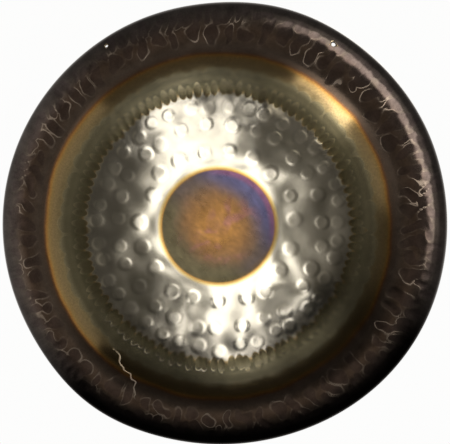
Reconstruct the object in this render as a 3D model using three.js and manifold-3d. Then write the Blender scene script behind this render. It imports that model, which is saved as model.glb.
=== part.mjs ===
// Tam tam gong: one sheet of hammered bronze with a shallow domed face, a rounded shoulder,
// a turned-back rim and two countersunk cord holes near the top.
// Millimetres. +Z is up as the gong hangs, its axis lies along Y and its face looks along -Y.
// The origin is on the axis, half-way through the depth.
import * as THREE from "three";
import { mergeVertices } from "three/addons/utils/BufferGeometryUtils.js";
import Module from "manifold-3d";

// Driving dimensions
const diameter = 559; // 22 inch, across the widest part of the shoulder
const sheet = 1.3; // thickness of the metal
const domeRadius = 3150; // the face is a very shallow spherical cap
const shoulderStart = 215; // radius at which the face begins to turn back
const shoulderDepth = 29; // how far back the rounding of the shoulder goes
const lipLength = 7; // straight part of the rim behind the rounding
const lipLean = 0.6; // the lip leans in by this much at its cut edge
const cordHole = 3.5; // diameter of a cord hole
const countersink = 7; // diameter of its countersink at the face
const cordHoles = [
  { across: 136, up: 223 },
  { across: -148, up: 222 },
];

// Fineness of the facets
const segments = 96; // around the axis
const faceSteps = 8; // across the domed face
const shoulderSteps = 12; // around the shoulder
const holeSegments = 16;

const radius = diameter / 2;

/** Distance behind the middle of the face at radius r, on the dome alone. */
function domeDrop(r) {
  return (r * r) / (2 * domeRadius);
}

/** Depth of the whole gong, from the middle of its face to the cut edge of its rim. */
const depth = domeDrop(radius) + shoulderDepth + lipLength;

/** The front of the shoulder at angle t, a quarter ellipse added to the dome. */
function shoulderPoint(t) {
  const r = shoulderStart + (radius - shoulderStart) * Math.sin(t);
  const back = domeDrop(r) + shoulderDepth * (1 - Math.cos(t));
  return new THREE.Vector2(r, back - depth / 2);
}

/** The line of the front skin, from the axis to the cut edge: x is radius, y is depth. */
function frontLine() {
  const line = [];
  for (let i = 0; i < faceSteps; i += 1) {
    const r = (shoulderStart * i) / faceSteps;
    line.push(new THREE.Vector2(r, domeDrop(r) - depth / 2));
  }
  for (let i = 0; i <= shoulderSteps; i += 1) {
    line.push(shoulderPoint((Math.PI / 2) * (i / shoulderSteps)));
  }
  line.push(new THREE.Vector2(radius - lipLean, depth / 2));
  return line;
}

/** The back skin: each point of the front line moved in by the sheet's thickness. */
function backLine(front) {
  const last = front.length - 1;
  return front.map((point, i) => {
    if (i === 0) return new THREE.Vector2(0, point.y + sheet);
    if (i === last) return new THREE.Vector2(point.x - sheet, point.y);
    const along = front[i + 1].clone().sub(front[i - 1]).normalize();
    return new THREE.Vector2(point.x - along.y * sheet, point.y + along.x * sheet);
  });
}

/** A closed profile turned about the Y axis, with its shared vertices merged. */
function turned(profile, steps) {
  const geometry = new THREE.LatheGeometry(profile, steps);
  geometry.deleteAttribute("normal");
  geometry.deleteAttribute("uv");
  return mergeVertices(geometry, 1e-4);
}

/** The whole sheet before it is drilled. */
function sheetGeometry() {
  const front = frontLine();
  return turned([...front, ...backLine(front).reverse()], segments);
}

/** The drill and its countersink as one tool along its own Y axis, its mouth at y = 0. */
function drillGeometry() {
  const reach = 6; // past both skins
  const hole = cordHole / 2;
  const mouth = countersink / 2;
  const bevel = mouth - hole; // a 90 degree countersink
  const profile = [
    new THREE.Vector2(0, -reach),
    new THREE.Vector2(mouth + reach, -reach),
    new THREE.Vector2(mouth - bevel, bevel),
    new THREE.Vector2(hole, reach),
    new THREE.Vector2(0, reach),
  ];
  return turned(profile, holeSegments);
}

/** Where a cord hole meets the front skin, and the way the skin faces there. */
function holeSeat({ across, up }) {
  const r = Math.hypot(across, up);
  const t = Math.asin((r - shoulderStart) / (radius - shoulderStart));
  const step = 0.01;
  const before = shoulderPoint(t - step);
  const after = shoulderPoint(t + step);
  const lean = Math.atan2(after.y - before.y, after.x - before.x);
  const outward = new THREE.Vector3(across / r, 0, up / r).multiplyScalar(Math.sin(lean));
  outward.y = -Math.cos(lean);
  return { point: new THREE.Vector3(across, shoulderPoint(t).y, up), outward };
}

const wasm = await Module();
wasm.setup();

/** A closed three.js geometry as a solid that can be cut. */
function solidFrom(geometry) {
  const vertProperties = new Float32Array(geometry.getAttribute("position").array);
  const triVerts = new Uint32Array(geometry.getIndex().array);
  return new wasm.Manifold(new wasm.Mesh({ numProp: 3, vertProperties, triVerts }));
}

/** The solid back as a three.js geometry. */
function geometryFrom(solid) {
  const mesh = solid.getMesh();
  const geometry = new THREE.BufferGeometry();
  geometry.setAttribute("position", new THREE.BufferAttribute(mesh.vertProperties, 3));
  geometry.setIndex(new THREE.BufferAttribute(mesh.triVerts, 1));
  geometry.computeVertexNormals();
  return geometry;
}

/** The sheet with a countersunk hole drilled square to the skin for each end of the cord. */
function drilledSheet() {
  let solid = solidFrom(sheetGeometry());
  for (const hole of cordHoles) {
    const { point, outward } = holeSeat(hole);
    const inward = outward.clone().negate();
    const turn = new THREE.Quaternion().setFromUnitVectors(new THREE.Vector3(0, 1, 0), inward);
    const drill = drillGeometry();
    drill.applyQuaternion(turn);
    drill.translate(point.x, point.y, point.z);
    solid = solid.subtract(solidFrom(drill));
  }
  return geometryFrom(solid);
}

/** Warm brown bronze, satin. */
function patina() {
  return new THREE.MeshStandardMaterial({ color: 0x6b5a44, roughness: 0.35, metalness: 1 });
}

const gong = new THREE.Mesh(drilledSheet(), patina());
gong.name = "gong";

const tamTam = new THREE.Group();
tamTam.add(gong);

export default tamTam;
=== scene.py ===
# %% [markdown]
# # A hammered tam tam gong
#
# A tam tam is one sheet of bronze-type alloy. A smith hammers it into a very shallow dome,
# turns its edge back into a rim, and blackens it in the fire. Then the face is ground: the
# oxide comes off around the middle, and thinner and thinner films of it are left towards the
# rim, which is why the metal runs from silver through gold and brown to black.
#
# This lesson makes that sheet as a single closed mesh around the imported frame, gives it a
# finish that follows the hammer and the grinder, and lights it like a mirror: with a few
# large, soft lamps whose shapes are meant to be seen in the metal.

import bpy
import numpy as np
from mathutils import Matrix, Quaternion, Vector


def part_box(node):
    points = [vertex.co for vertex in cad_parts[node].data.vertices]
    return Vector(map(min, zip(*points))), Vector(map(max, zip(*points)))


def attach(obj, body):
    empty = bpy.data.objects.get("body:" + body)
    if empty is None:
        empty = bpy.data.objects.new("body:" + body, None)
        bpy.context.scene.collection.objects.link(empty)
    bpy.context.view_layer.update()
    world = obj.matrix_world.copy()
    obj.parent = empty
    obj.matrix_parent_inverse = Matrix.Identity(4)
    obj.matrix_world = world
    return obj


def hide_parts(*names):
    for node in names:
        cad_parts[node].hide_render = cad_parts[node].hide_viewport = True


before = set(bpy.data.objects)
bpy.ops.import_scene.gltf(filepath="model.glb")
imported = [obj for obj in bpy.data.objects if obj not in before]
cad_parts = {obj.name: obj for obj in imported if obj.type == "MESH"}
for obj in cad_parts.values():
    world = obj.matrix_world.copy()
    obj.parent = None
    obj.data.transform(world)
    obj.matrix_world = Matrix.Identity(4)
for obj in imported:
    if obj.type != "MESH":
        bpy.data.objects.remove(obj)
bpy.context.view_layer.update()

LOW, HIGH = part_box("gong")
RADIUS = (HIGH.x - LOW.x) / 2
FACE_Y = LOW.y
RIM_Y = HIGH.y
print(f"gong radius {RADIUS:.4f} m, face at y {FACE_Y:.4f}, rim edge at y {RIM_Y:.4f}")

# %% [markdown]
# ## The section of the sheet
#
# Seen in section, the face is a cap of a huge sphere, and the shoulder is a quarter of an
# ellipse laid on it, so the slope grows without a break from nothing at the middle to
# upright at the rim. A short straight lip ends the sheet. Spheres of this size could be made
# with a sphere primitive, and the shoulder with a bevel, but one formula for both keeps the
# reflections smooth, and on polished metal every small break in the slope shows.

# %% Section sizes, in metres
DOME_RADIUS = 3.150
SHOULDER_START = 0.215
LIP = 0.007
LIP_LEAN = 0.0006
SHEET = 0.0013
SHOULDER_DEPTH = RIM_Y - FACE_Y - LIP - RADIUS**2 / (2 * DOME_RADIUS)


def dome_section(radius):
    """Depth of the cap: radius squared over twice the radius of its sphere."""
    return np.stack([radius, FACE_Y + radius**2 / (2 * DOME_RADIUS)], axis=1)


def shoulder_section(turn):
    """Quarter ellipse on the cap. Its radius grows with the sine of the turn, and its depth
    falls with one minus the cosine."""
    radius = SHOULDER_START + (RADIUS - SHOULDER_START) * np.sin(turn)
    section = dome_section(radius)
    section[:, 1] += SHOULDER_DEPTH * (1 - np.cos(turn))
    return section


def lip_section(share):
    """Straight line from the widest ring to the cut edge."""
    start = shoulder_section(np.array([np.pi / 2]))[0]
    end = np.array([RADIUS - LIP_LEAN, RIM_Y])
    return start + (end - start) * share[:, None]


def section_normals(section):
    """Unit normals of a section: its tangent, by central differences, turned a quarter."""
    along = np.gradient(section, axis=0)
    along /= np.linalg.norm(along, axis=1, keepdims=True)
    along[0] = (1, 0)
    return np.stack([along[:, 1], -along[:, 0]], axis=1)


print(f"the shoulder is {SHOULDER_DEPTH * 1000:.1f} mm deep")

# %% [markdown]
# ## The hammer rows
#
# The smith works round and round, so the marks lie in rings. In the bright ring the hammer
# struck from behind, and each mark is a low round table that stands up from the face. Where
# the oxide begins the blows come from the front, long and narrow and side by side, like
# teeth. The olive band has wide ones that hardly show, and on the shoulder two rows of deep
# ones cross each other, so their edges make closed loops. Marks could be drawn in a bump
# texture, but then the outline and the export would be flat. So they are worked into the mesh
# as a height over the sheet, and each point of it looks for its nearest mark by arithmetic.

# %% The rows
# the smith's rings have a middle of their own, a little off the axis, but true up at the rim
MAKERS_CENTRE = np.array([-0.0076, -0.0038])
STRAYING_ENDS = (0.236, 0.270)
# each row: radius, marks, half a mark's width across the row, half along it, height, scatter
BRIGHT_ROWS = [
    (0.095, 19, 0.0087, 0.0087, 0.000070, 0.0022),
    (0.127, 27, 0.0087, 0.0087, 0.000070, 0.0024),
    (0.150, 39, 0.0082, 0.0082, 0.000062, 0.0026),
]
TOOTH_ROW = (0.1715, 104, 0.0100, 0.0045, -0.000070, 0.0014)
TOOTH_RUNS_OUT = (0.1660, 0.1800)
SCALLOP_ROW = (0.1890, 58, 0.0095, 0.0108, 0.000015, 0.0012)
SHOULDER_ROWS = [
    (0.2410, 70, 0.0135, 0.0078, -0.00026, 0.0035),
    (0.2600, 130, 0.0095, 0.0060, -0.00018, 0.0030),
]
ROWS_BY_KIND = {
    "bright": BRIGHT_ROWS,
    "tooth": [TOOTH_ROW],
    "scallop": [SCALLOP_ROW],
    "blow": SHOULDER_ROWS,
}
marks = sum(row[1] for rows in ROWS_BY_KIND.values() for row in rows)
print(f"{marks} hammer marks")

# %% One mark, and the nearest mark of a row
FAR_AWAY = 9.0
SLIP = 0.16
SMALLEST, LARGEST = 0.88, 1.12
SOFTEST, HARDEST = 0.70, 1.35
TOP_EDGE = 0.66
FOOT = 1.24
DISH = 0.08


def smooth_step(value, start, end):
    """0 before start, 1 after end, and 3t^2 - 2t^3 between them."""
    t = np.clip((value - start) / (end - start), 0, 1)
    return t * t * (3 - 2 * t)


def mark_profile(q, height):
    """Height of one mark at q, the distance in mark radii. Struck from behind, it has a flat
    top, slightly dished, and a smooth flank. Struck from the front, it is a cup: a parabola."""
    top = 1 - smooth_step(q, TOP_EDGE, FOOT) - DISH * np.clip(1 - q**2, 0, None)
    cup = np.clip(1 - q**2, 0, None)
    return height * (top if height > 0 else cup)


def nearest_mark(rho, angle, row, chance):
    """Distance in mark radii to the nearest mark of a row, from the slots round the ring, and
    how hard that mark was struck."""
    ring, count, across, along, _, scatter = row
    slip = chance.uniform(-SLIP, SLIP, count)
    stray = chance.normal(0, scatter, count)
    size = chance.uniform(SMALLEST, LARGEST, count)
    slot = angle / (2 * np.pi) * count
    force = chance.uniform(SOFTEST, HARDEST, count)
    nearest = np.full(rho.shape, FAR_AWAY)
    struck = np.ones(rho.shape)
    for neighbour in (-1, 0, 1):
        k = np.floor(slot).astype(int) + neighbour
        mark = k % count
        off = (slot - k - 0.5 - slip[mark]) * 2 * np.pi / count * rho
        out = rho - ring - stray[mark]
        q = np.hypot(out / across, off / along) / size[mark]
        struck = np.where(q < nearest, force[mark], struck)
        nearest = np.minimum(nearest, q)
    return nearest, struck


print(f"marks of {SMALLEST} to {LARGEST} of their row's size")

# %% Waves and all the marks together
HAMMER_SEED = 22
# each set of waves: seed, how many, shortest and longest, steepness
BENT_OUTWARDS = (31, 20, (0.011, 0.045), 0.28)
BENT_SIDEWAYS = (32, 20, (0.011, 0.045), 0.24)
BLOW_RADIUS = 0.25


def waves(x, z, seed, count, lengths, steepness):
    """Sum of gentle sine waves of random direction, length and phase, from a fixed seed."""
    chance = np.random.default_rng(seed)
    total = np.zeros(x.shape)
    for _ in range(count):
        length = chance.uniform(*lengths)
        heading, phase = chance.uniform(0, 2 * np.pi, 2)
        steep = steepness * chance.uniform(0.4, 1.0)
        along = np.cos(heading) * x + np.sin(heading) * z
        total += steep * length / (2 * np.pi) * np.sin(2 * np.pi * along / length + phase)
    return total


def hammer_work(x, z, rho, angle):
    """Height of all the marks over the sheet, and the distance to the nearest mark of each
    kind. The shoulder's blows are bent out of shape by short waves, added to the radius and,
    over a mean radius, to the angle. The teeth run out to nothing at their outer ends."""
    chance = np.random.default_rng(HAMMER_SEED)
    height = np.zeros(rho.shape)
    near = {}
    bent = rho + waves(x, z, *BENT_OUTWARDS)
    skewed = angle + waves(x, z, *BENT_SIDEWAYS) / BLOW_RADIUS
    for kind, rows in ROWS_BY_KIND.items():
        near[kind] = np.full(rho.shape, FAR_AWAY)
        for row in rows:
            places = (bent, skewed) if kind == "blow" else (rho, angle)
            q, struck = nearest_mark(*places, row, chance)
            if kind == "tooth":
                struck = struck * (1 - smooth_step(rho, *TOOTH_RUNS_OUT))
            height += mark_profile(q, row[4]) * struck
            near[kind] = np.minimum(near[kind], q)
    return height, near


along_x = np.linspace(0, 1, 200)
bend = waves(along_x, 0 * along_x, *BENT_OUTWARDS)
print(f"blows bent by up to {np.abs(bend).max() * 1000:.1f} mm")

# %% [markdown]
# ## The unevenness of hand work
#
# Between the marks the sheet is never quite true: it rolls by a fraction of a millimetre, and
# its outline swells and flattens by a few millimetres. In a mirror finish the rolling is what
# tears the edge of every reflection. Noise textures could push the mesh about, but they have
# steep spots that turn a mirror into crumpled foil. A sum of sine waves has a slope that is
# known beforehand, so the rolling comes from waves, long ones and short ones.

# %% Rolling face and uneven outline
# each ring of the face: where its waves begin, are full, start to leave and are gone
ROLLING = (5, 24, (0.060, 0.18), 0.0038)
ROLLING_RADII = (0.055, 0.085, 0.125, 0.215)
RIPPLES = (8, 18, (0.030, 0.055), 0.0036)
SHORT_RIPPLES = (9, 24, (0.016, 0.030), 0.0010)
RIPPLE_RADII = (0.070, 0.085, 0.160, 0.175)
# each swelling of the outline: azimuth in degrees, width in degrees, height in metres
SWELLINGS = [
    (20, 12, 0.0016),
    (60, 14, 0.0012),
    (122, 20, 0.0022),
    (165, 16, -0.0018),
    (216, 12, 0.0048),
    (320, 22, -0.0022),
    (355, 11, -0.0015),
]


def ring_share(rho, inner, full, leaving, outer):
    """0 inside the inner radius and past the outer one, and 1 from full to leaving."""
    return smooth_step(rho, inner, full) * (1 - smooth_step(rho, leaving, outer))


def unevenness_of_sheet(x, z, rho):
    """Height of the rolling and the ripples, each kept to its own ring of the face."""
    ripples = waves(x, z, *RIPPLES) + waves(x, z, *SHORT_RIPPLES)
    rolling = waves(x, z, *ROLLING) * ring_share(rho, *ROLLING_RADII)
    return rolling + ripples * ring_share(rho, *RIPPLE_RADII)


def outline(angle):
    """How far the rim stands out: for each swelling a bell curve round the circle, the
    exponential of the cosine of the angle from its middle, less one, over its width squared."""
    swell = np.zeros(angle.shape)
    for azimuth, width, height in SWELLINGS:
        away = np.cos(angle - np.radians(azimuth)) - 1
        swell += height * np.exp(away / np.radians(width) ** 2)
    return swell


around = outline(np.linspace(0, 2 * np.pi, 360))
print(f"the outline runs from {around.min() * 1000:.1f} to {around.max() * 1000:.1f} mm")

# %% [markdown]
# ## One closed sheet
#
# The mesh is a web: rings from the middle of the face, over the shoulder and the cut edge, to
# the middle of the back, and spokes all round. A web crowds towards its middle, so the number
# of spokes halves a few times on the way in, and the back, which has no polish to show, gets
# half of the front's. Both skins take the same dents, so the sheet keeps its thickness, and
# what stands up on the face is hollow behind. The middle of each side is one point.

# %% Rings of the web
SPOKES = 640
HALVED_INSIDE = (0.084, 0.045, 0.020)
SWELLS_FROM = 0.20
# each stretch of the face: first radius, last radius, rings
FACE_STRETCHES = [
    (0.0080, 0.0640, 8),
    (0.0675, 0.0810, 8),
    (0.0845, 0.1845, 64),
    (0.1865, 0.2130, 12),
]
SHOULDER_RINGS = 52
BETWEEN_ROWS = [0.012, 0.030, 0.060, 0.080, 0.208]
ACROSS_A_ROW = (-0.9, 0, 0.9)
BACK_SHOULDER_RINGS = 14
BACK_SHOULDER_FROM = 0.05


def front_rings():
    """Radii and shoulder turns of the front's rings, closest together in the hammered zones."""
    dome = np.concatenate([np.linspace(*stretch) for stretch in FACE_STRETCHES])
    turn = np.linspace(0, np.pi / 2, SHOULDER_RINGS)
    lip = lip_section(np.array([0.5, 1.0]))
    return np.concatenate([dome_section(dome), shoulder_section(turn), lip])


def back_rings():
    """Rings of the back: three for each hammer row and a few between, and the cut edge."""
    hammered = [*BRIGHT_ROWS, TOOTH_ROW, SCALLOP_ROW]
    rows = [row[0] + row[2] * share for row in hammered for share in ACROSS_A_ROW]
    dome = np.array(sorted([*BETWEEN_ROWS, *rows]))
    turn = np.linspace(BACK_SHOULDER_FROM, np.pi / 2, BACK_SHOULDER_RINGS)
    return np.concatenate([dome_section(dome), shoulder_section(turn), lip_section(np.ones(1))])


front_section, back_section = front_rings(), back_rings()
print(f"{len(front_section)} rings in front and {len(back_section)} behind")

# %% The two skins


def ring_sizes(section, most):
    """Spokes of each ring: the most outside, and halved inside each of the given radii."""
    halvings = sum((section[:, 0] < radius).astype(int) for radius in HALVED_INSIDE)
    return most // 2**halvings


def skin(section, sizes, side):
    """Points of one skin, ring after ring, and the numbers stored with them: the section
    turned about the axis, moved along its normal by the hammer work and the rolling, and by
    the sheet's thickness where the side is 1, the back."""
    ring = np.repeat(np.arange(len(sizes)), sizes)
    first = np.repeat(np.cumsum(sizes) - sizes, sizes)
    angle = 2 * np.pi * (np.arange(len(ring)) - first) / sizes[ring]
    (radius, depth), normal = section[ring].T, section_normals(section)[ring]
    x, z = radius * np.sin(angle), radius * np.cos(angle)
    hold = 1 - smooth_step(radius, *STRAYING_ENDS)
    cx, cz = x - MAKERS_CENTRE[0] * hold, z - MAKERS_CENTRE[1] * hold
    rho, turn = np.hypot(cx, cz), np.arctan2(cx, cz) % (2 * np.pi)
    height, near = hammer_work(x, z, rho, turn)
    height += unevenness_of_sheet(x, z, rho) - SHEET * side
    swell = outline(angle) * smooth_step(radius, SWELLS_FROM, RADIUS)
    out = radius + height * normal[:, 0] + swell
    deep = depth + height * normal[:, 1]
    points = np.stack([out * np.sin(angle), deep, out * np.cos(angle)], axis=1)
    points[ring == len(sizes) - 1, 1] = RIM_Y
    return points, {"rho": rho, "behind": np.full(len(rho), float(side)), **near}


front_sizes = ring_sizes(front_section, SPOKES)
back_sizes = ring_sizes(back_section, SPOKES // 2)
back_sizes[-1] = SPOKES
front, front_values = skin(front_section, front_sizes, 0)
back, back_values = skin(back_section, back_sizes, 1)
print(f"{len(front)} points in front and {len(back)} behind, on up to {SPOKES} spokes")

# %% Close the web into a mesh
def strip(inner, inner_size, outer, outer_size):
    """Triangles between two rings, given by their first vertices and their sizes. Equal rings
    are joined by pairs, and a ring of twice the size by threes."""
    if inner_size > outer_size:
        return strip(outer, outer_size, inner, inner_size)[:, ::-1]
    near, after = np.arange(inner_size), (np.arange(inner_size) + 1) % inner_size
    if inner_size == outer_size:
        return np.concatenate([
            np.stack([inner + near, outer + near, outer + after], axis=1),
            np.stack([inner + near, outer + after, inner + after], axis=1),
        ])
    far, middle, next_far = 2 * near, 2 * near + 1, 2 * after
    return np.concatenate([
        np.stack([inner + near, outer + far, outer + middle], axis=1),
        np.stack([inner + near, outer + middle, inner + after], axis=1),
        np.stack([inner + after, outer + middle, outer + next_far], axis=1),
    ])


def volume(mesh):
    """Signed volume: a sixth of the sum of the corners' triple products. It is positive when
    the faces point outwards."""
    points = np.empty(len(mesh.vertices) * 3, dtype=np.float32)
    mesh.vertices.foreach_get("co", points)
    mesh.calc_loop_triangles()
    corners = np.empty(len(mesh.loop_triangles) * 3, dtype=np.int32)
    mesh.loop_triangles.foreach_get("vertices", corners)
    a, b, c = points.reshape(-1, 3)[corners.reshape(-1, 3)].transpose(1, 0, 2).astype(float)
    return np.sum(a * np.cross(b, c)) / 6


def closed_web(name, points, sizes, poles):
    """A mesh from rings of points one after another, closed by a point at each end, and turned
    right side out if its volume comes out negative."""
    starts = np.cumsum(sizes) - sizes
    strips = [strip(*pair) for pair in zip(starts, sizes, starts[1:], sizes[1:])]
    first, last = len(points), len(points) + 1
    head, tail = np.arange(sizes[0]), starts[-1] + np.arange(sizes[-1])
    fan = np.stack([np.full(sizes[0], first), head, np.roll(head, -1)], axis=1)
    end_fan = np.stack([np.roll(tail, -1), tail, np.full(sizes[-1], last)], axis=1)
    corners = np.concatenate([fan, *strips, end_fan]).astype(np.int32)
    mesh = bpy.data.meshes.new(name)
    mesh.vertices.add(len(points) + 2)
    mesh.vertices.foreach_set("co", np.concatenate([points, poles]).astype(np.float32).ravel())
    mesh.loops.add(corners.size)
    mesh.loops.foreach_set("vertex_index", corners.ravel())
    mesh.polygons.add(len(corners))
    mesh.polygons.foreach_set("loop_start", np.arange(0, corners.size, 3, dtype=np.int32))
    mesh.update(calc_edges=True)
    mesh.validate()
    mesh.polygons.foreach_set("use_smooth", np.ones(len(corners), dtype=bool))
    if volume(mesh) < 0:
        mesh.flip_normals()
    return mesh


# %% Weigh it, and store what the finish reads
BRONZE_DENSITY = 8500


def store(mesh, name, values):
    """A number for each vertex, for the material to read."""
    mesh.attributes.new(name, "FLOAT", "POINT").data.foreach_set("value", values.astype(np.float32))


def turned_back(values, sizes):
    """The rings in the opposite order, each ring the same way round."""
    return np.concatenate(np.split(values, np.cumsum(sizes)[:-1])[::-1])


points = np.concatenate([front, turned_back(back, back_sizes)])
sizes = np.concatenate([front_sizes, back_sizes[::-1]])
poles = np.array([[0, FACE_Y, 0], [0, FACE_Y + SHEET, 0]])
mesh = closed_web("gong_sheet", points, sizes, poles)
for name, values in front_values.items():
    behind = turned_back(back_values[name], back_sizes)
    store(mesh, name, np.concatenate([values, behind, values[:1], behind[-1:]]))
gong = bpy.data.objects.new("gong_sheet", mesh)
bpy.context.scene.collection.objects.link(gong)
print(f"{len(mesh.polygons)} faces, {volume(mesh) * BRONZE_DENSITY:.2f} kg of bronze")

# %% [markdown]
# ## Nodes by hand
#
# The finish of a hammered sheet is easier to say in arithmetic than to draw as a picture:
# "brown past this radius", "paler on the edge of each mark". Shader nodes do that arithmetic at
# every point. Wiring them by mouse would hide the numbers, so a few small functions add the
# nodes from code, one node for each step of the sum.

# %% Adding nodes
def adder(tree):
    """A function that adds a node: its inputs are numbers or other nodes' outputs."""
    def add(kind, inputs=(), **settings):
        node = tree.nodes.new(kind)
        for key, value in settings.items():
            setattr(node, key, value)
        for key, value in dict(inputs).items():
            if isinstance(value, bpy.types.NodeSocket):
                tree.links.new(value, node.inputs[key])
            else:
                node.inputs[key].default_value = value
        return node

    return add


def shader(name):
    """A material with its tree, its Principled shader and a way to add nodes."""
    material = bpy.data.materials.new(name)
    material.use_nodes = True
    tree = material.node_tree
    return material, tree, tree.nodes["Principled BSDF"], adder(tree)


def stored(add, name):
    """The number that the mesh stores for each vertex under this name."""
    return add("ShaderNodeAttribute", attribute_name=name).outputs["Fac"]


def calc(add, operation, *values):
    """One arithmetic node."""
    return add("ShaderNodeMath", dict(enumerate(values)), operation=operation).outputs[0]


def times(add, first, *others):
    """The product of all the values."""
    product = first
    for other in others:
        product = calc(add, "MULTIPLY", product, other)
    return product


def off_by(add, value, middle):
    """How far a value is from the middle, whichever way."""
    return calc(add, "ABSOLUTE", calc(add, "SUBTRACT", value, middle))


# %% Fades, ramps and noise
def fade(add, value, start, end):
    """0 before start and 1 after end, smoothly."""
    limits = {"Value": value, "From Min": start, "From Max": end, "To Min": 0.0, "To Max": 1.0}
    return add("ShaderNodeMapRange", limits, interpolation_type="SMOOTHSTEP").outputs[0]


def inside(add, value, edge, blur):
    """1 below the edge and 0 above it, changing over twice the blur."""
    return fade(add, value, edge + blur, edge - blur)


def window(add, value, start, end, soft):
    """1 between start and end and 0 outside, changing over twice the softness at each."""
    opens = fade(add, value, start - soft, start + soft)
    return times(add, opens, fade(add, value, end + soft, end - soft))


def ramp(add, value, stops):
    """A colour ramp: stops are (position, colour)."""
    node = add("ShaderNodeValToRGB", {"Fac": value})
    elements = node.color_ramp.elements
    while len(elements) < len(stops):
        elements.new(0.5)
    for element, (position, colour) in zip(elements, stops):
        element.position = position
        element.color = (*colour, 1)
    return node.outputs["Color"]


def grey_ramp(add, value, stops):
    """A ramp of plain numbers."""
    return ramp(add, value, [(position, (number,) * 3) for position, number in stops])


def blend(add, share, first, second):
    """A colour between two, by the share of the second."""
    return add("ShaderNodeMix", {0: share, 6: first, 7: second}, data_type="RGBA").outputs[2]


def toned(add, colour, tone):
    """A colour made darker or paler by a number."""
    inputs = {0: 1.0, 6: colour, 7: tone}
    return add("ShaderNodeMix", inputs, data_type="RGBA", blend_type="MULTIPLY").outputs[2]


def noise(add, place, scale, detail, distortion=0.0):
    """Fractal noise around one half."""
    inputs = {"Vector": place, "Scale": scale, "Detail": detail, "Distortion": distortion}
    return add("ShaderNodeTexNoise", inputs).outputs["Fac"]


def unevenness(add, place, scale, detail):
    """Fractal noise around zero."""
    return calc(add, "SUBTRACT", noise(add, place, scale, detail), 0.5)


# %% [markdown]
# ## The heat-tinted middle
#
# The smooth middle of the face was heated and left alone. Heat grows a clear film on the
# alloy, and its thickness sets the colour it takes from the light: gold, then rose, then
# violet and a dull green. Real interference could be had from the shader's thin film, but that
# tint changes with the angle of the light, and the export drops it. So a ramp over the radius
# gives the colours in order, noise bends the ramp, and the side of the middle decides whether
# its edge turns violet or green.

# %% The middle
BOSS = 0.0700
BOSS_EDGE = (BOSS + 0.0008, BOSS - 0.0020)
TINTS = [
    (0.00, (0.250, 0.120, 0.046)),
    (0.26, (0.270, 0.130, 0.036)),
    (0.50, (0.195, 0.100, 0.038)),
    (0.76, (0.118, 0.080, 0.052)),
    (0.92, (0.104, 0.078, 0.062)),
    (1.00, (0.130, 0.082, 0.045)),
]
VIOLET = (0.094, 0.088, 0.150, 1)
GREEN = (0.110, 0.092, 0.040, 1)
MAGENTA = (0.230, 0.085, 0.130, 1)
ROSE = (0.250, 0.105, 0.088, 1)
BRUSH_TURN = 0.75
BRUSH_GRAIN = (0.009, 0.009, 0.004)


def brushed_grain(add, place):
    """Noise drawn out along a slanting line, as a polishing cloth leaves it."""
    inputs = {"Vector": place, "Rotation": (0, BRUSH_TURN, 0), "Scale": BRUSH_GRAIN}
    slanted = add("ShaderNodeMapping", inputs, vector_type="TEXTURE").outputs[0]
    return noise(add, slanted, 1.0, 3.0)


def boss_colour(add, rho, place):
    """Heat tint: gold in the middle, then rose, then violet above and green below. The side
    is a weighted sum of x and z, which grows towards the upper right."""
    share = calc(add, "DIVIDE", rho, BOSS)
    patch = noise(add, place, 22.0, 3.0, 0.6)
    uneven = calc(add, "MULTIPLY_ADD", patch, 0.34, calc(add, "ADD", share, -0.17))
    colour = ramp(add, uneven, TINTS)
    split = add("ShaderNodeSeparateXYZ", {0: place})
    across, up = times(add, split.outputs["X"], 10.0), times(add, split.outputs["Z"], 9.5)
    side = calc(add, "ADD", across, up)
    rim = fade(add, uneven, 0.45, 0.86)
    violet = times(add, fade(add, side, 0.05, 0.60), rim, 0.90)
    colour = blend(add, violet, colour, VIOLET)
    green = times(add, fade(add, side, -0.10, -0.60), rim, 0.75)
    colour = blend(add, green, colour, GREEN)
    magenta = times(add, fade(add, side, 0.25, 0.70), fade(add, share, 0.86, 0.96), 0.75)
    colour = blend(add, magenta, colour, MAGENTA)
    patches = fade(add, noise(add, place, 34.0, 3.0, 0.4), 0.50, 0.64)
    rose = times(add, patches, fade(add, share, 0.85, 0.45), 0.60)
    colour = blend(add, rose, colour, ROSE)
    return toned(add, colour, calc(add, "MULTIPLY_ADD", brushed_grain(add, place), 0.7, 0.65))


print(f"{len(TINTS)} tints over {BOSS * 1000:.0f} mm")

# %% [markdown]
# ## The zones of the grinder
#
# Outside the middle the sheet was black from the fire, and the grinder took the oxide off in
# rings: to bare metal in the bright ring, then less and less. What is left goes through olive,
# gold and orange to brown and black. Each ring could be a material of its own, but then its
# edges would be as sharp as the mesh. One ramp over the radius keeps them soft, and the radius
# is bent before it is read: the wheel jumped over the bottom of each long blow, so oxide is
# kept there, and it cut the high edges of the wide ones.

# %% The zones
SPAN = 0.300
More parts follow.
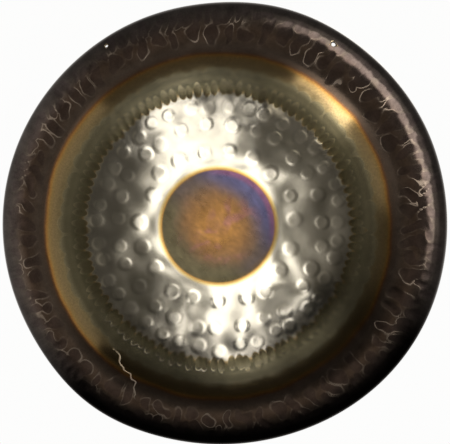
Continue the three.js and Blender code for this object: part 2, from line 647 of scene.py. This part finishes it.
# each zone: radius from the maker's centre, colour, roughness
ZONES = [
    (0.0000, (0.300, 0.150, 0.045), 0.10),
    (0.0690, (0.260, 0.130, 0.035), 0.18),
    (0.0712, (0.400, 0.235, 0.060), 0.16),
    (0.0736, (0.560, 0.420, 0.180), 0.12),
    (0.0760, (0.540, 0.480, 0.350), 0.10),
    (0.1640, (0.500, 0.440, 0.325), 0.10),
    (0.1700, (0.480, 0.400, 0.260), 0.12),
    (0.1722, (0.440, 0.310, 0.140), 0.13),
    (0.1745, (0.230, 0.175, 0.082), 0.15),
    (0.1790, (0.195, 0.168, 0.086), 0.16),
    (0.1840, (0.240, 0.205, 0.112), 0.16),
    (0.1880, (0.365, 0.310, 0.175), 0.14),
    (0.1920, (0.560, 0.470, 0.270), 0.12),
    (0.1970, (0.660, 0.500, 0.245), 0.09),
    (0.2050, (0.700, 0.490, 0.230), 0.06),
    (0.2100, (0.720, 0.480, 0.190), 0.06),
    (0.2132, (0.780, 0.400, 0.110), 0.08),
    (0.2156, (0.430, 0.200, 0.080), 0.10),
    (0.2180, (0.270, 0.180, 0.125), 0.12),
    (0.2240, (0.240, 0.175, 0.130), 0.14),
    (0.2330, (0.190, 0.130, 0.092), 0.14),
    (0.2450, (0.165, 0.108, 0.074), 0.12),
    (0.2600, (0.115, 0.090, 0.073), 0.11),
    (0.2700, (0.085, 0.070, 0.062), 0.12),
    (0.2800, (0.066, 0.055, 0.050), 0.14),
]
KEPT_IN_TOOTH = 0.008
KEPT_IN_BAND = 0.004
TOOTH_BAND = (0.163, 0.187)
CUT_FROM_SCALLOP = -0.0030
WHEEL_DRIFT = 0.010


def ground_radius(add, rho, place):
    """The radius that the grinder seems to have been at: the real one, with oxide kept in the
    long blows and their band, cut back inside the wide blows, and a slow drift."""
    kept = times(add, inside(add, stored(add, "tooth"), 0.97, 0.09), KEPT_IN_TOOTH)
    band = window(add, rho, *TOOTH_BAND, 0.005)
    kept = calc(add, "MULTIPLY_ADD", band, KEPT_IN_BAND, kept)
    clipped = times(add, inside(add, stored(add, "scallop"), 0.97, 0.05), CUT_FROM_SCALLOP)
    clipped = times(add, clipped, fade(add, rho, 0.183, 0.190))
    drift = times(add, unevenness(add, place, 16.0, 3.0), fade(add, rho, 0.10, 0.20))
    reached = calc(add, "ADD", calc(add, "ADD", rho, kept), clipped)
    return calc(add, "MULTIPLY_ADD", drift, WHEEL_DRIFT, reached)


print(f"{len(ZONES)} zones, from bare metal to black, over {ZONES[-1][0] * 1000:.0f} mm")

# %% [markdown]
# ## Kept oxide, and painted reflection, shade and highlights on the marks
#
# A blow shows in the colour as well as in the shape. The floor of a long blow keeps its oxide.
# The tops of the bright ring's marks are painted paler, a painted reflection of the brighter
# room they face, and the floors of the shoulder's blows are painted darker, a painted shade for
# the dark room that their hollows reflect. The edge of a shoulder blow, which stands up, gets a
# thin pale line, a painted highlight where the edge catches a lamp, never all the way round,
# and so do the edges of the wide blows in the olive band. The mesh stores the distance to the
# nearest mark of each kind, so an edge is where that distance is near one, and noise breaks the
# line. A line painted on the UV map would look the same from afar, and would miss the edge of
# the dent by a little everywhere. At the lower left one long thin pale line, a painted
# highlight, runs across the blows, and there the outer ends of the teeth get painted highlights
# as well.

# %% Painted reflection, shade and highlights on the marks
PIT = (0.125, 0.094, 0.042, 1)
# painted reflection colour: the bright marks' tops, paler for the brighter room they reflect
PAINTED_MARK_SHEEN = (0.70, 0.62, 0.46, 1)
# painted shade colour in the floors of the shoulder's blows
PAINTED_BLOW_SHADE = (0.070, 0.048, 0.050, 1)
# painted highlight colour of the lines on the blows' edges
PAINTED_EDGE_HIGHLIGHT = (0.70, 0.56, 0.44, 1)
# painted highlight colour of the edges of the wide blows
PAINTED_SCALLOP_HIGHLIGHT = (0.85, 0.72, 0.45, 1)
# painted highlight colour of the line at the lower left and the teeth's ends
PAINTED_LINE_HIGHLIGHT = (0.85, 0.70, 0.55, 1)
SHOULDER_FROM = (0.222, 0.228)
SHOULDER_TO = (0.262, 0.252)


def tooth_pits(add, rho):
    """The dark floors of the long blows, fading out before the olive band."""
    floors = inside(add, stored(add, "tooth"), 0.88, 0.16)
    return times(add, floors, 0.50, fade(add, rho, 0.183, 0.174))


def painted_edge_highlights(add, rho, broken):
    """Painted highlight lines on the edges of the shoulder's blows, broken by noise."""
    edge = inside(add, off_by(add, stored(add, "blow"), 1.0), 0.085, 0.080)
    zone = times(add, fade(add, rho, *SHOULDER_FROM), fade(add, rho, *SHOULDER_TO))
    return times(add, edge, broken, zone)


def painted_scallop_highlights(add, rho, broken):
    """Painted highlight lines on the edges of the wide blows in the olive band, broken by the same noise.
    """
    edge = inside(add, off_by(add, stored(add, "scallop"), 1.0), 0.045, 0.040)
    return times(add, edge, broken, fade(add, rho, 0.186, 0.192))


print(f"shoulder marks begin {SHOULDER_FROM[0] * 1000:.0f} mm out")

# %% The painted highlight line at the lower left
GLINT_LINE_SLOPE = 0.135
GLINT_LINE_START = 0.1315
GLINT_LINE_WANDER = 0.056
GLINT_LINE_HALF_WIDTH = 0.0014
GLINT_LINE_RADII = (0.200, 0.236)
GLINT_LINE_ANGLES = (-2.75, -2.32)
TOOTH_GLINT_ANGLES = (-3.10, -2.30)


def painted_glint_line_and_tooth_glints(add, rho, place, broken):
    """A painted highlight line across the shoulder, its radius growing with the angle round the
    axis and wandering with noise, and painted highlights on the long blows' outer ends beside it."""
    split = add("ShaderNodeSeparateXYZ", {0: place})
    around = calc(add, "ARCTAN2", split.outputs["X"], split.outputs["Z"])
    line = calc(add, "MULTIPLY_ADD", around, GLINT_LINE_SLOPE, calc(add, "ADD", rho, GLINT_LINE_START))
    line = calc(add, "MULTIPLY_ADD", unevenness(add, place, 36.0, 2.5), GLINT_LINE_WANDER, line)
    glint_line = inside(add, calc(add, "ABSOLUTE", line), GLINT_LINE_HALF_WIDTH, 0.0013)
    glint_line = times(add, glint_line, window(add, rho, *GLINT_LINE_RADII, 0.003))
    glint_line = times(add, glint_line, window(add, around, *GLINT_LINE_ANGLES, 0.05))
    tooth_glint = inside(add, off_by(add, stored(add, "tooth"), 1.05), 0.085, 0.080)
    tooth_glint = times(add, tooth_glint, fade(add, rho, 0.1755, 0.1790))
    tooth_glint = times(add, tooth_glint, window(add, around, *TOOTH_GLINT_ANGLES, 0.15))
    tooth_glint = times(add, tooth_glint, calc(add, "MAXIMUM", broken, 0.45))
    return calc(add, "MAXIMUM", glint_line, tooth_glint)


glint_line_run = np.hypot(GLINT_LINE_RADII[1] - GLINT_LINE_RADII[0], GLINT_LINE_RADII[0] * np.ptp(GLINT_LINE_ANGLES))
print(f"the crack runs over about {glint_line_run * 1000:.0f} mm")

# %% [markdown]
# ## Scale, strokes and the back
#
# Oxide is never even. It is mottled, it has a fine grain where it is thick, and near the rim
# short strokes run outwards, because there the smith wiped it on the round edge. The back was
# never polished: it is brown scale, with the rings of the lathe and the print of each mark. The
# strokes need noise that is long along a spoke and short across it, and a plain noise texture
# has no such direction. So the noise is read at the direction from the axis, spread out, with
# the radius as its third number.

# %% Strokes and scale
STROKES = (70.0, 0.0, 70.0)
STROKE_LENGTHS = 60.0
SCALE_DARK = (0.120, 0.090, 0.070, 1)
SCALE_PALE = (0.200, 0.145, 0.098, 1)
LATHE_RING = (0.235, 0.175, 0.118, 1)
DIMPLE = (0.085, 0.062, 0.046, 1)
DINT = (0.270, 0.205, 0.140, 1)


def radial_direction(add, place):
    """The place without its depth, brought to length one, so that it is the same all along
    a spoke."""
    flat = add("ShaderNodeVectorMath", {0: place, 1: (1, 0, 1)}, operation="MULTIPLY").outputs[0]
    return add("ShaderNodeVectorMath", {0: flat}, operation="NORMALIZE").outputs[0]


def radial_strokes(add, rho, place):
    """Noise read at the direction from the axis and the radius."""
    along = add("ShaderNodeCombineXYZ", {"Y": times(add, rho, STROKE_LENGTHS)}).outputs[0]
    inputs = {0: radial_direction(add, place), 1: STROKES, 2: along}
    spoke = add("ShaderNodeVectorMath", inputs, operation="MULTIPLY_ADD").outputs[0]
    return noise(add, spoke, 1.0, 3.0)


def scale_shade(add, rho, place, mottle, strokes):
    """A number round one: mottle on the oxide, grain where it is thick, strokes at the rim."""
    mottled = times(add, calc(add, "SUBTRACT", mottle, 0.5), fade(add, rho, 0.215, 0.232))
    shade = calc(add, "MULTIPLY_ADD", mottled, 1.2, 1.0)
    grain = times(add, unevenness(add, place, 420.0, 3.0), fade(add, rho, 0.185, 0.200))
    shade = calc(add, "MULTIPLY_ADD", grain, 0.55, shade)
    comb = times(add, calc(add, "SUBTRACT", strokes, 0.5), fade(add, rho, 0.245, 0.262))
    return calc(add, "MULTIPLY_ADD", comb, 0.5, shade)


def rear_colour(add, rho, place):
    """Cloudy brown scale, with rings from the lathe, dark dimples and pale dints."""
    scale = fade(add, noise(add, place, 22.0, 8.0, 0.1), 0.30, 0.70)
    rear = blend(add, scale, SCALE_DARK, SCALE_PALE)
    rings = noise(add, times(add, rho, 260.0), 1.0, 3.0)
    rear = blend(add, fade(add, rings, 0.42, 0.62), rear, LATHE_RING)
    dimple = times(add, inside(add, stored(add, "bright"), 0.95, 0.30), 0.55)
    rear = blend(add, dimple, rear, DIMPLE)
    dint = times(add, inside(add, stored(add, "blow"), 0.95, 0.30), 0.45)
    return blend(add, dint, rear, DINT)


# %% [markdown]
# ## One metal for the whole sheet
#
# All of that is one sheet, so it is one material: a metal whose colour and roughness are
# worked out in layers, the ramp first, then the marks with their painted reflection, shade and
# highlights, then the scale, and the back last. The polish is high everywhere, between 0.06 and
# 0.18, because the room's reflection in the uneven sheet is most of what the eye sees. Only the
# edges under the painted highlight lines and the back are duller. The bump is no deeper than a
# twentieth of a millimetre: every dent that changes the shape is in the mesh.

# %% The bronze
BOSS_ROUGHNESS = (0.26, 0.26, 0.26, 1)
REAR_ROUGHNESS = 0.24
# roughness of the metal under the painted highlight lines
GLINT_EDGE_ROUGHNESS = 0.42
LATHE_LINES = 900.0
BUMP_DEPTH = 0.00005


def face_colour(add, rho, place, ground, edge_glints, line_glints, broken):
    """The zones by the ground radius, then the middle, then the hammer's marks: kept oxide in the
    long blows, and painted reflection, painted shade and painted highlights on the others.
    """
    colour = ramp(add, ground, [(radius / SPAN, colour) for radius, colour, _ in ZONES])
    colour = blend(add, tooth_pits(add, rho), colour, PIT)
    colour = blend(add, fade(add, rho, *BOSS_EDGE), colour, boss_colour(add, rho, place))
    # painted reflection: the tops of the bright ring's marks painted paler, for the brighter room they face
    struck = times(add, inside(add, stored(add, "bright"), 0.98, 0.14), 0.45)
    colour = blend(add, struck, colour, PAINTED_MARK_SHEEN)
    # painted shade: the floors of the shoulder's blows painted darker, for the dark room they reflect
    floors = times(add, inside(add, stored(add, "blow"), 0.90, 0.10), fade(add, rho, *SHOULDER_FROM))
    colour = blend(add, times(add, floors, 0.35), colour, PAINTED_BLOW_SHADE)
    # painted highlights: pale lines on the edges of the shoulder's blows
    colour = blend(add, times(add, edge_glints, 0.62), colour, PAINTED_EDGE_HIGHLIGHT)
    # painted highlights: pale lines on the edges of the wide blows in the olive band
    scallop_highlight = times(add, painted_scallop_highlights(add, rho, broken), 0.40)
    colour = blend(add, scallop_highlight, colour, PAINTED_SCALLOP_HIGHLIGHT)
    # painted highlights: the pale line at the lower left and the teeth's outer ends beside it
    return blend(add, times(add, line_glints, 0.75), colour, PAINTED_LINE_HIGHLIGHT)


def sheet_roughness(add, rho, ground, mottle, edge_glints):
    """The zones' roughness, mottled, and at least that of the back and of the painted highlight lines."""
    rough = grey_ramp(add, ground, [(radius / SPAN, number) for radius, _, number in ZONES])
    rough = blend(add, fade(add, rho, *BOSS_EDGE), rough, BOSS_ROUGHNESS)
    rough = times(add, rough, calc(add, "MULTIPLY_ADD", mottle, 0.5, 0.75))
    rough = calc(add, "MAXIMUM", rough, times(add, stored(add, "behind"), REAR_ROUGHNESS))
    return calc(add, "MAXIMUM", rough, times(add, edge_glints, GLINT_EDGE_ROUGHNESS))


def fine_relief(add, rho, edge_glints, strokes):
    """Lathe lines over the whole face, the raised edges under the painted highlight lines, and
    the strokes near the rim.
    """
    lines = noise(add, times(add, rho, LATHE_LINES), 1.0, 2.0)
    fine = calc(add, "ADD", times(add, lines, 0.03), edge_glints)
    hatch = times(add, strokes, fade(add, rho, 0.245, 0.260))
    return calc(add, "MULTIPLY_ADD", hatch, 0.8, fine)


def bronze():
    """The gong's one material: its layers by distance from the maker's centre."""
    material, tree, principled, add = shader("bronze")
    place = add("ShaderNodeTexCoord").outputs["Object"]
    rho = stored(add, "rho")
    ground = calc(add, "DIVIDE", ground_radius(add, rho, place), SPAN)
    broken = fade(add, noise(add, place, 34.0, 3.0), 0.40, 0.66)
    mottle = noise(add, place, 60.0, 5.0, 0.5)
    strokes = radial_strokes(add, rho, place)
    # painted highlights: masks of the pale lines on the blows' edges and at the lower left
    edge_glints = painted_edge_highlights(add, rho, broken)
    line_glints = painted_glint_line_and_tooth_glints(add, rho, place, broken)
    colour = face_colour(add, rho, place, ground, edge_glints, line_glints, broken)
    colour = toned(add, colour, scale_shade(add, rho, place, mottle, strokes))
    colour = blend(add, stored(add, "behind"), colour, rear_colour(add, rho, place))
    tree.links.new(colour, principled.inputs["Base Color"])
    # all the painted highlight lines together, made rougher and raised in the bump
    edge_glints = calc(add, "MAXIMUM", edge_glints, line_glints)
    rough = sheet_roughness(add, rho, ground, mottle, edge_glints)
    tree.links.new(rough, principled.inputs["Roughness"])
    principled.inputs["Metallic"].default_value = 1.0
    relief = fine_relief(add, rho, edge_glints, strokes)
    bump = add("ShaderNodeBump", {"Height": relief, "Strength": 1.0, "Distance": BUMP_DEPTH})
    tree.links.new(bump.outputs[0], principled.inputs["Normal"])
    return material


gong.data.materials.append(bronze())
print(f"{len(gong.data.materials[0].node_tree.nodes)} nodes in the bronze")

# %% [markdown]
# ## The cord holes
#
# Two holes near the top carry the gong's cord. Each is drilled square to the shoulder and
# then countersunk, so that the sharp edge can't cut the cord, and the fresh metal shows as a
# small bright ring. A drill is what makes them here too: a turned cutter with a cone and a
# straight shank, taken away from the sheet by a Boolean, which also hands its own bright
# finish to the faces it leaves.

# %% The drill
CORD_HOLES = [(0.136, 0.223), (-0.148, 0.222)]
HOLE = 0.0035
COUNTERSINK = 0.0070
DRILL_REACH = 0.004
DRILL_SIDES = 32
SHORT_TURN = 0.01


def drill(across, up):
    """A closed cutter on the front skin: rings along its own axis, wide outside the sheet,
    narrowing at 90 degrees to the hole."""
    radius = np.hypot(across, up)
    turn = np.arcsin((radius - SHOULDER_START) / (RADIUS - SHOULDER_START))
    nearby = shoulder_section(turn + np.array([-SHORT_TURN, 0, SHORT_TURN]))
    out, forward = section_normals(nearby)[1]
    seat = Vector((across, nearby[1, 1], up))
    outward = Vector((across / radius * out, forward, up / radius * out))
    flare = (COUNTERSINK - HOLE) / 2
    profile = np.array([
        [COUNTERSINK / 2 + DRILL_REACH, DRILL_REACH],
        [HOLE / 2, -flare],
        [HOLE / 2, -DRILL_REACH],
    ])
    angle = np.linspace(0, 2 * np.pi, DRILL_SIDES, endpoint=False)
    wide, along = profile[:, :1], np.broadcast_to(profile[:, 1:], (3, DRILL_SIDES))
    rings = np.stack([wide * np.cos(angle), wide * np.sin(angle), along], axis=2).reshape(-1, 3)
    poles = np.array([[0, 0, DRILL_REACH], [0, 0, -DRILL_REACH]])
    mesh = closed_web("drill", rings, np.full(3, DRILL_SIDES), poles)
    mesh.transform(outward.to_track_quat("Z", "Y").to_matrix().to_4x4())
    mesh.transform(Matrix.Translation(seat))
    return mesh


def cut(piece, tool_mesh, finish):
    """The piece's mesh with the tool taken away. The faces it leaves get the finish."""
    tool_mesh.materials.append(finish)
    tool = bpy.data.objects.new("tool", tool_mesh)
    bpy.context.scene.collection.objects.link(tool)
    boolean = piece.modifiers.new("cut", "BOOLEAN")
    boolean.operation = "DIFFERENCE"
    boolean.object = tool
    boolean.solver = "EXACT"
    boolean.material_mode = "TRANSFER"
    depsgraph = bpy.context.evaluated_depsgraph_get()
    carved = bpy.data.meshes.new_from_object(piece.evaluated_get(depsgraph))
    piece.modifiers.clear()
    piece.data = carved
    bpy.data.objects.remove(tool)


apart = np.hypot(*np.subtract(*CORD_HOLES))
print(f"holes of {HOLE * 1000:.1f} mm, {apart * 1000:.0f} mm apart")

# %% [markdown]
# ## Drilling, and the bare metal
#
# The drill goes through after the fire, so the countersinks show fresh alloy, paler and
# yellower than anything around them, with a fine grain from the cutting edge. They get a small
# material of their own, which the Boolean hands to the faces that the drill leaves. Then the
# finished sheet takes the place of the plain one from the frame.

# %% Bare metal, and the holes
BARE_DARK = (0.40, 0.31, 0.21, 1)
BARE_PALE = (0.60, 0.49, 0.35, 1)


def bare_metal():
    """Fresh metal in the countersinks: pale gold, with fine grain left by the drill."""
    material, tree, principled, add = shader("drilled_bronze")
    place = add("ShaderNodeTexCoord").outputs["Object"]
    grain = noise(add, place, 900.0, 3.0)
    tree.links.new(blend(add, grain, BARE_DARK, BARE_PALE), principled.inputs["Base Color"])
    rough = calc(add, "MULTIPLY_ADD", grain, 0.2, 0.2)
    tree.links.new(rough, principled.inputs["Roughness"])
    principled.inputs["Metallic"].default_value = 1.0
    return material


fresh = bare_metal()
for hole in CORD_HOLES:
    cut(gong, drill(*hole), fresh)
kilograms = volume(gong.data) * BRONZE_DENSITY
print(f"{len(gong.data.polygons)} faces after drilling, {kilograms:.2f} kg")
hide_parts("gong")
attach(gong, "root")

# %% [markdown]
# ## The studio
#
# A mirror shows its room, so the room is part of the gong's look. Straight behind the camera
# is a wall with bright windows: a round one, which the bright ring shows as a white halo round
# the middle, and a few small ones above and below it, which make the white fans. Round the
# wall the room is dim, and darker still towards the floor, so that the lower rim goes black.
# The long curved lights on the gold ring and along the right shoulder are soft panels far out
# to the sides. All of this could be real lamps, but a lamp is a flat card with hard corners,
# and the shoulder bends such a card into a crescent. In the sky a panel is written by its two
# angles, the way round and the way out, and so it keeps the ring's own shape.

# %% Floor
FLOOR_DROP = 0.30
FLOOR_RADIUS = 1.20
FLOOR_CORNERS = 96
FLOOR_COLOUR = (0.85, 0.85, 0.84, 1)


def floor():
    """A flat pale disc under the gong, its corners evenly round a circle."""
    angle = np.linspace(0, 2 * np.pi, FLOOR_CORNERS, endpoint=False)
    height = np.full(FLOOR_CORNERS, LOW.z - FLOOR_DROP)
    corners = np.stack([FLOOR_RADIUS * np.cos(angle), FLOOR_RADIUS * np.sin(angle), height], axis=1)
    mesh = bpy.data.meshes.new("floor")
    mesh.from_pydata(corners.tolist(), [], [list(range(FLOOR_CORNERS))])
    disc = bpy.data.objects.new("floor", mesh)
    bpy.context.scene.collection.objects.link(disc)
    material, _, principled, _ = shader("pale_floor")
    principled.inputs["Base Color"].default_value = FLOOR_COLOUR
    principled.inputs["Roughness"].default_value = 0.7
    mesh.materials.append(material)
    disc.visible_glossy = False
    return disc


floor()
print(f"floor {FLOOR_DROP:.2f} m below the rim")

# %% The room's brightness
# how bright the room is, by the angle away from straight behind the camera, in radians
ROOM = [
    (0.000, 0.26),
    (0.105, 0.22),
    (0.135, 0.10),
    (0.165, 0.060),
    (0.200, 0.045),
    (0.240, 0.050),
    (0.300, 0.11),
    (0.600, 0.19),
    (1.900, 0.22),
    (2.300, 0.70),
    (3.100, 1.10),
]
# how much of that is left towards the floor, by the same angle
LOW_DOWN = [
    (0.000, 1.00),
    (0.165, 1.00),
    (0.195, 0.22),
    (0.250, 0.20),
    (0.420, 0.30),
    (0.520, 0.55),
    (0.600, 1.30),
    (0.720, 1.10),
    (0.850, 0.60),
    (0.950, 0.35),
    (1.100, 0.12),
    (1.400, 0.03),
    (1.900, 0.03),
    (3.100, 0.60),
]
# where "towards the floor" is, in degrees round from straight down, and how soft its ends are
DOWNWARDS = (-56, 68, 12)
print(f"the room is {ROOM[0][1]} straight behind the camera and {ROOM[-1][1]} behind the gong")

# %% Soft panels of light
# soft panels round the room: azimuth from and to in degrees, clockwise from the top, and how
# soft its ends are; the same for the angle away from behind the camera, in radians; brightness
ARCS = [
    (-134, -46, 1.0, 0.207, 0.360, 0.007, 0.170),
    (27, 51, 0.8, 0.196, 0.236, 0.005, 0.950),
    (34, 51, 0.8, 0.200, 0.232, 0.005, 0.550),
    (40, 51, 0.8, 0.203, 0.229, 0.004, 0.700),
    (50, 84, 6.0, 0.190, 0.300, 0.010, 0.150),
    (22, 94, 16.0, 0.870, 1.090, 0.045, 3.100),
    (18, 94, 18.0, 1.060, 1.320, 0.110, 0.520),
    (-125, -48, 16.0, 0.900, 2.000, 0.150, 0.370),
]
print(f"{len(ARCS)} soft panels")

# %% The sky
BACKDROP = (0.98, 0.98, 0.975, 1)
ROOM_COLOUR = (1.0, 0.98, 0.94, 1)


def by_angle(add, away, stops):
    """A grey ramp over the angle away, from nothing to half a turn."""
    share = calc(add, "DIVIDE", away, np.pi)
    return grey_ramp(add, share, [(angle / np.pi, number) for angle, number in stops])


def sky():
    """White to the camera. To the metal, a dim room that darkens towards the floor, with the
    panels added."""
    world = bpy.data.worlds.new("studio")
    bpy.context.scene.world = world
    world.use_nodes = True
    tree = world.node_tree
    add = adder(tree)
    seen = tree.nodes["Background"]
    seen.inputs["Color"].default_value = BACKDROP
    split = add("ShaderNodeSeparateXYZ", {0: add("ShaderNodeTexCoord").outputs["Generated"]})
    x, y, z = split.outputs["X"], split.outputs["Y"], split.outputs["Z"]
    away = calc(add, "ARCCOSINE", times(add, y, -1.0))
    from_below = calc(add, "ARCTAN2", x, times(add, z, -1.0))
    shaded = window(add, from_below, *np.radians(DOWNWARDS).tolist())
    lost = times(add, shaded, calc(add, "SUBTRACT", 1.0, by_angle(add, away, LOW_DOWN)))
    strength = times(add, by_angle(add, away, ROOM), calc(add, "SUBTRACT", 1.0, lost))
    around = calc(add, "ARCTAN2", x, z)
    for first, last, ends, near, far, edges, bright in ARCS:
        arc = window(add, around, np.radians(first), np.radians(last), np.radians(ends))
        arc = times(add, arc, window(add, away, near, far, edges))
        strength = calc(add, "MULTIPLY_ADD", arc, bright, strength)
    dim = add("ShaderNodeBackground", {"Color": ROOM_COLOUR, "Strength": strength})
    shares = {0: add("ShaderNodeLightPath").outputs["Is Camera Ray"], 1: dim.outputs[0], 2: seen.outputs[0]}
    mix = add("ShaderNodeMixShader", shares)
    tree.links.new(mix.outputs[0], tree.nodes["World Output"].inputs["Surface"])


sky()
print(f"{len(bpy.context.scene.world.node_tree.nodes)} nodes in the sky")

# %% [markdown]
# ## The windows and lamps
#
# The face is so nearly flat that it shows only a small patch of the wall behind the camera,
# and each window there has its own place in the bright ring. They are area lamps, because an
# area lamp has a sharp shape, gives even light, and takes few samples. A lamp's power is spread
# over its area, so two lamps of different size and equal power don't look equally bright in a
# mirror. The function below takes the brightness and works out the power. Two more lamps are
# for the rest of the scene: one for the back of the gong, and one for the floor, which the
# metal doesn't see.

# %% Lamps
WARM = (1.0, 0.97, 0.90)
COOL = (0.97, 1.0, 1.10)
WALL_Y = -3.2
# each window: name, across, up, size, brightness, shape, roll in degrees
WINDOWS = [
    ("round_window", -0.037, -0.010, (0.66, 0.70), 3.0, "ELLIPSE", 0),
    ("round_window_upper_edge", 0.29, 0.17, (0.11, 0.11), 2.5, "ELLIPSE", 0),
    ("round_window_lower_edge", 0.25, -0.20, (0.13, 0.13), 2.5, "ELLIPSE", 0),
    ("round_window_top", -0.110, 0.320, (0.26, 0.15), 3.0, "ELLIPSE", 0),
    ("upper_window", -0.075, 0.500, (0.13, 0.16), 3.0, "ELLIPSE", 0),
    ("upper_left_window", -0.315, 0.535, (0.23, 0.16), 3.0, "RECTANGLE", -12),
    ("upper_left_link", -0.215, 0.435, (0.13, 0.12), 3.0, "RECTANGLE", 30),
    ("upper_far_window", -0.20, 0.68, (0.17, 0.09), 3.0, "RECTANGLE", 10),
    ("upper_right_window", 0.086, 0.645, (0.07, 0.09), 2.6, "ELLIPSE", 0),
    ("lower_window", 0.055, -0.54, (0.19, 0.40), 3.0, "RECTANGLE", 14),
    ("lower_left_window", -0.244, -0.515, (0.10, 0.13), 3.0, "ELLIPSE", 0),
    ("lower_right_window", 0.31, -0.53, (0.08, 0.08), 3.0, "ELLIPSE", 0),
    ("lower_far_right_window", 0.39, -0.47, (0.09, 0.11), 3.0, "ELLIPSE", 0),
]


def lamp(name, place, size, radiance, shape="RECTANGLE", roll=0, target=(0, 0, 0), colour=WARM):
    """An area lamp that faces the target, rolled clockwise about its own axis as seen from
    the gong. Its power is its radiance times pi times its area."""
    light = bpy.data.lights.new(name, "AREA")
    light.shape = shape
    light.size, light.size_y = size
    area = size[0] * size[1] * (np.pi / 4 if shape == "ELLIPSE" else 1)
    light.energy = radiance * np.pi * area
    light.color = colour
    lit = bpy.data.objects.new(name, light)
    lit.location = place
    facing = (Vector(target) - Vector(place)).to_track_quat("-Z", "Y")
    lit.rotation_mode = "QUATERNION"
    lit.rotation_quaternion = facing @ Quaternion((0, 0, 1), np.radians(roll))
    lit.visible_camera = False
    bpy.context.scene.collection.objects.link(lit)
    return lit


for name, across, up, size, radiance, shape, roll in WINDOWS:
    lamp(name, (across, WALL_Y, up), size, radiance, shape, roll, (across, 0, up), COOL)
lamp("back_lamp", (1.1, 2.4, 1.3), (1.2, 1.2), 1.6)
floor_lamp = lamp("floor_lamp", (0, -0.2, 2.4), (3.0, 3.0), 1.1)
floor_lamp.visible_glossy = False
print(f"{len(WINDOWS)} windows on the wall and 2 lamps")

# %% [markdown]
# ## The camera
#
# A gong is shown straight from the front, at the height of its middle. A camera close by would
# see the round of the shoulder foreshortened, and one far away would see the whole rim. At a
# little over four diameters both look natural. The lens then follows from the gong's size and
# from how much of the view's width it fills.

# %% Camera
CAMERA_DISTANCE = 2.4
CAMERA_ACROSS = 0.0006
CAMERA_UP = 0.0013
SENSOR = 36
FILLED = 443 / 450
camera_data = bpy.data.cameras.new("camera")
camera_data.sensor_width = SENSOR
camera_data.lens = SENSOR * FILLED * (CAMERA_DISTANCE + RIM_Y) / (2 * RADIUS)
camera = bpy.data.objects.new("camera", camera_data)
camera.location = (CAMERA_ACROSS, -CAMERA_DISTANCE, CAMERA_UP)
camera.rotation_euler = (np.pi / 2, 0, 0)
bpy.context.scene.collection.objects.link(camera)
bpy.context.scene.camera = camera
bpy.context.scene.view_settings.view_transform = "Standard"
print(f"lens {camera_data.lens:.1f} mm at {CAMERA_DISTANCE} m")
